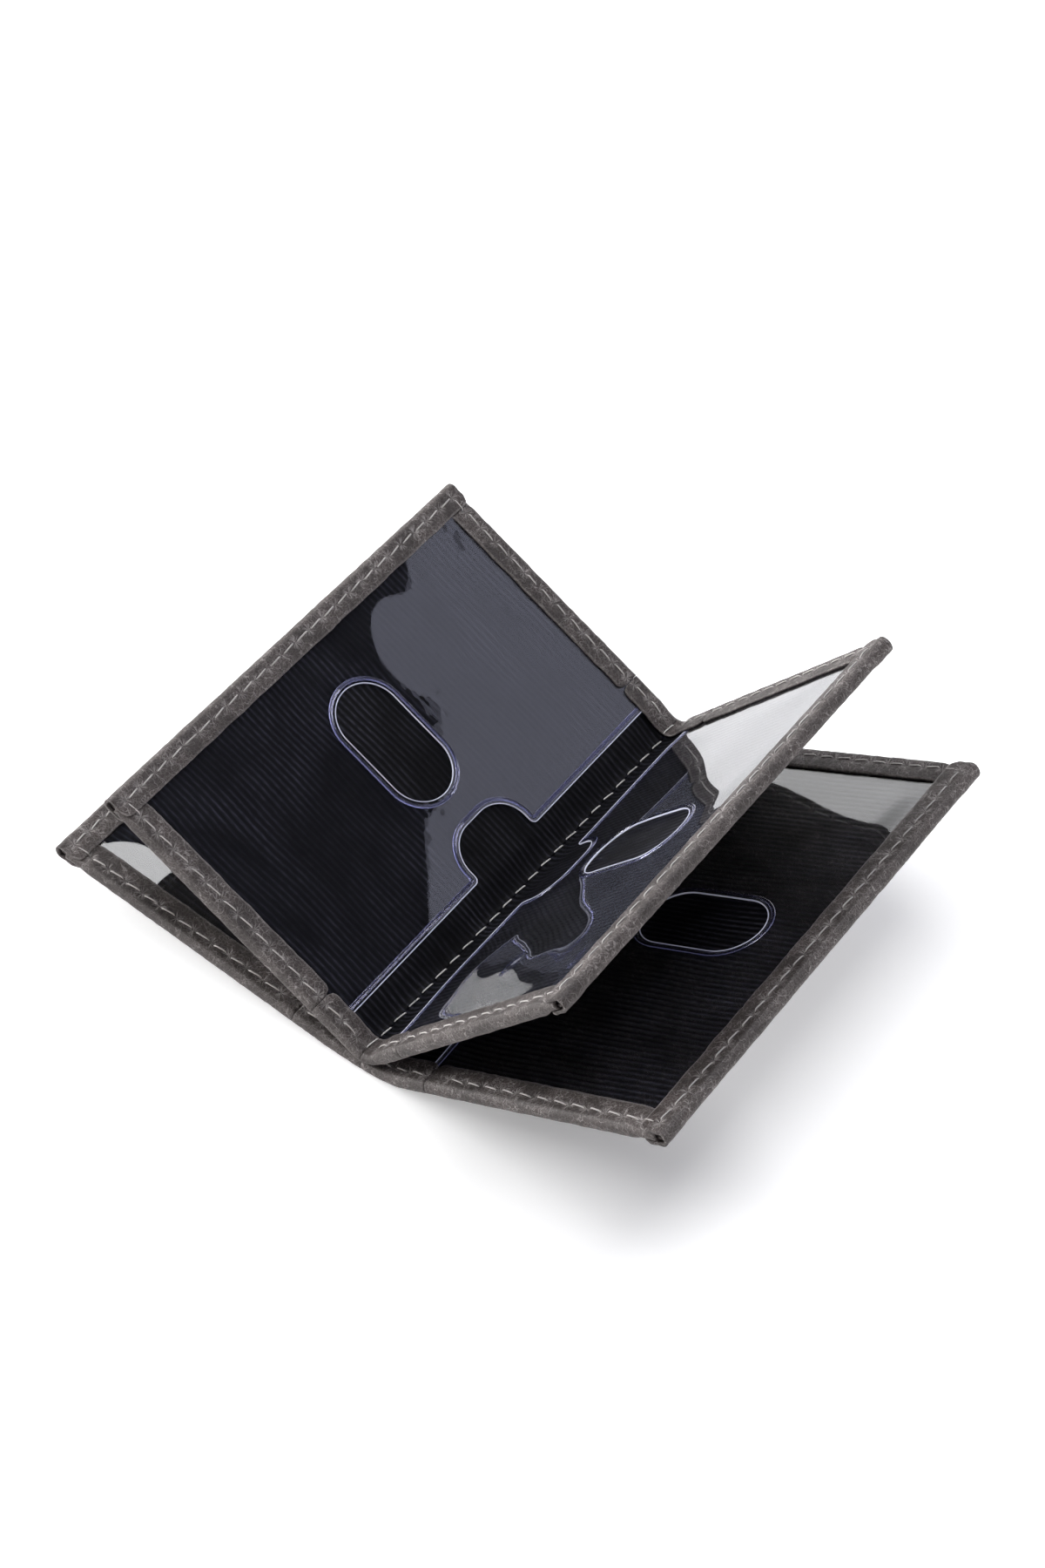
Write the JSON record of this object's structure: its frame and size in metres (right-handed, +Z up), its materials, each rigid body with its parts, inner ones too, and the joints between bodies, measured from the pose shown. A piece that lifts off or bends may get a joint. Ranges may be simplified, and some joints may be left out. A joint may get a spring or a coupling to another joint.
{
  "type": "card wallet",
  "caption": "Book-style card wallet: a leather-bound cover with a smaller book of leaves sewn into its spine, each leaf a clear thumb-slotted pocket over a ribbed lining.",
  "frame": {"origin": "middle of the flat underside of the cover's spine", "axes": "+X across the spine towards the right-hand leaves, +Y along the spine towards its far end, +Z up out of the open wallet"},
  "size_m": [0.131, 0.1, 0.0516],
  "materials": {
    "leather": "distressed grey-brown pull-up leather with fine pale rubs",
    "board": "plain stiffener board",
    "lining": "near-black ribbed moire lining",
    "clear_sheet": "clear flexible PVC with glossy welded edges",
    "thread": "waxed off-white thread"
  },
  "bodies": {
    "spine": {"cover_spine_leather": "leather", "cover_spine_lining": "lining", "cover_spine_strips": "leather", "inner_spine_leather": "leather", "inner_spine_lining": "lining", "inner_spine_strips": "leather", "spine_stitches": "thread"},
    "cover_left": {"cover_left_leather": "leather", "cover_left_board": "board", "cover_left_lining": "lining", "cover_left_window": "clear_sheet", "cover_left_binding_free": "leather", "cover_left_binding_near": "leather", "cover_left_binding_far": "leather", "cover_left_spine_tabs": "leather", "cover_left_stitches": "thread"},
    "cover_right": {"cover_right_leather": "leather", "cover_right_board": "board", "cover_right_lining": "lining", "cover_right_window": "clear_sheet", "cover_right_binding_free": "leather", "cover_right_binding_near": "leather", "cover_right_binding_far": "leather", "cover_right_spine_tabs": "leather", "cover_right_stitches": "thread"},
    "inner_left": {"inner_left_leather": "leather", "inner_left_board": "board", "inner_left_lining": "lining", "inner_left_window": "clear_sheet", "inner_left_binding_free": "leather", "inner_left_binding_near": "leather", "inner_left_binding_far": "leather", "inner_left_spine_tabs": "leather", "inner_left_stitches": "thread"},
    "inner_right": {"inner_right_leather": "leather", "inner_right_board": "board", "inner_right_lining": "lining", "inner_right_window": "clear_sheet", "inner_right_binding_free": "leather", "inner_right_binding_near": "leather", "inner_right_binding_far": "leather", "inner_right_spine_tabs": "leather", "inner_right_stitches": "thread"}
  },
  "joints": [
    {"name": "cover_left_hinge", "type": "hinge", "parent": "spine", "child": "cover_left", "pos_m": [-0.006, 0, 0.0014], "axis": [0, 1, 0], "range_deg": [-7.87, 82.13]},
    {"name": "cover_right_hinge", "type": "hinge", "parent": "spine", "child": "cover_right", "pos_m": [0.006, 0, 0.0014], "axis": [0, -1, 0], "range_deg": [-28.79, 61.21]},
    {"name": "inner_left_hinge", "type": "hinge", "parent": "spine", "child": "inner_left", "pos_m": [-0.0026, 0, 0.0044], "axis": [0, 1, 0], "range_deg": [-5.94, 61.88]},
    {"name": "inner_right_hinge", "type": "hinge", "parent": "spine", "child": "inner_right", "pos_m": [0.0026, 0, 0.0044], "axis": [0, -1, 0], "range_deg": [-18.31, 38.92]}
  ],
  "couplings": [
    {"joint": "inner_left_hinge", "follows": "cover_left_hinge", "ratio": 0.7533},
    {"joint": "inner_right_hinge", "follows": "cover_right_hinge", "ratio": 0.6357}
  ]
}
